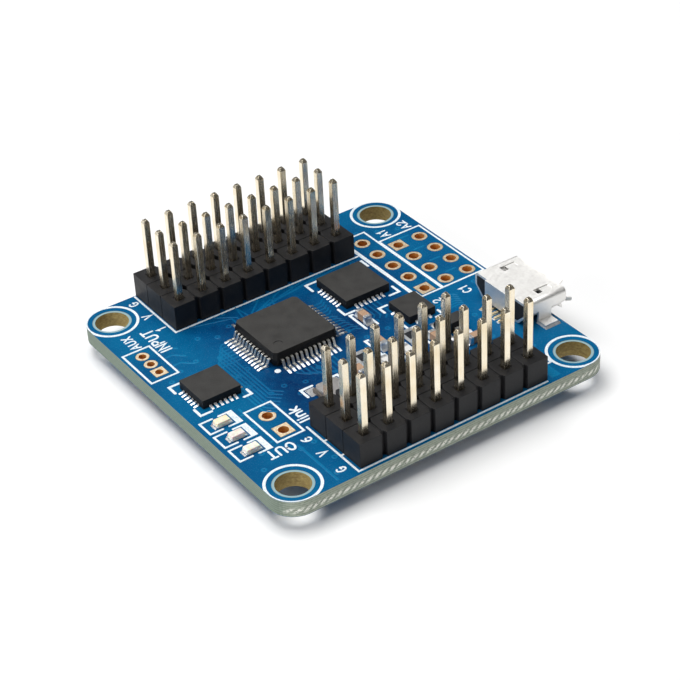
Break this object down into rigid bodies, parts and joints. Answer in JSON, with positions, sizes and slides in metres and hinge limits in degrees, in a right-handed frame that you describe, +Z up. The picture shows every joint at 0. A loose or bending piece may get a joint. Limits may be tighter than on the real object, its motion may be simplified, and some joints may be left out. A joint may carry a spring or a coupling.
{
  "type": "servo driver board",
  "caption": "Square servo control circuit board with upright pin headers on opposite edges, processor, sensors, status lights and a USB socket.",
  "frame": {"origin": "centre of the four mounting holes, on the underside of the board", "axes": "+X towards the USB socket, along the output header; +Y towards the input header; +Z up through the board, the way the header pins stand"},
  "size_m": [0.037, 0.0354, 0.0116],
  "materials": {
    "laminate": "cut glass-cloth laminate, matt, faint weave at the edge",
    "solder_mask": "semi-gloss blue lacquer",
    "legend_ink": "white printed ink, matt, slightly raised",
    "gold_plating": "flash gold over copper, satin",
    "header_plastic": "moulded black, fine satin",
    "pin_metal": "thin pale gold plating, drawn along its length",
    "solder": "bright reflowed solder",
    "chip_plastic": "moulded epoxy, fine grain",
    "tinned_lead": "matt tin plate",
    "crystal_can": "satin stamped lid",
    "dark_ceramic": "matt fired ceramic",
    "capacitor_ceramic": "matt fired ceramic, tan",
    "resistor_coat": "glassy dark overcoat on ceramic",
    "end_cap_tin": "matt tin plate",
    "light_substrate": "white resin laminate",
    "lens_amber": "clear moulded resin, warm tint",
    "lens_red": "clear moulded resin, pink tint",
    "lens_white": "clear moulded resin, milky",
    "usb_steel": "bright tin-plated steel sheet",
    "socket_plastic": "moulded black",
    "contact_gold": "gold-plated spring contact"
  },
  "bodies": {
    "root": {"auxiliary_row_hole_plating": "gold_plating", "board_laminate": "laminate", "capacitor_cores": "capacitor_ceramic", "capacitor_end_caps": "end_cap_tin", "chip_part_solder": "solder", "compass_body": "chip_plastic", "compass_pads": "solder", "crystal_base": "dark_ceramic", "crystal_lid": "crystal_can", "crystal_pads": "solder", "expansion_hole_plating": "gold_plating", "input_ground_pins": "pin_metal", "input_ground_strip": "header_plastic", "input_header_hole_plating": "gold_plating", "input_header_solder": "solder", "input_power_pins": "pin_metal", "input_power_strip": "header_plastic", "input_signal_pins": "pin_metal", "input_signal_strip": "header_plastic", "link_hole_plating": "gold_plating", "microcontroller_body": "chip_plastic", "microcontroller_leads": "tinned_lead", "microcontroller_pads": "solder", "motion_sensor_body": "chip_plastic", "motion_sensor_pads": "solder", "output_ground_pins": "pin_metal", "output_ground_strip": "header_plastic", "output_header_hole_plating": "gold_plating", "output_header_solder": "solder", "output_power_pins": "pin_metal", "output_power_strip": "header_plastic", "output_signal_pins": "pin_metal", "output_signal_strip": "header_plastic", "printed_hole_rings": "legend_ink", "regulator_body": "chip_plastic", "regulator_leads": "tinned_lead", "regulator_pads": "solder", "resistor_cores": "resistor_coat", "resistor_end_caps": "end_cap_tin", "sensor_port_hole_plating": "gold_plating", "solder_mask_bottom": "solder_mask", "solder_mask_top": "solder_mask", "status_lens_amber": "lens_amber", "status_lens_red": "lens_red", "status_lens_white": "lens_white", "status_light_substrates": "light_substrate", "status_light_terminals": "end_cap_tin", "usb_bridge_body": "chip_plastic", "usb_bridge_pads": "solder", "usb_contacts": "contact_gold", "usb_insulator": "socket_plastic", "usb_pads": "solder", "usb_shell": "usb_steel"}
  },
  "joints": []
}
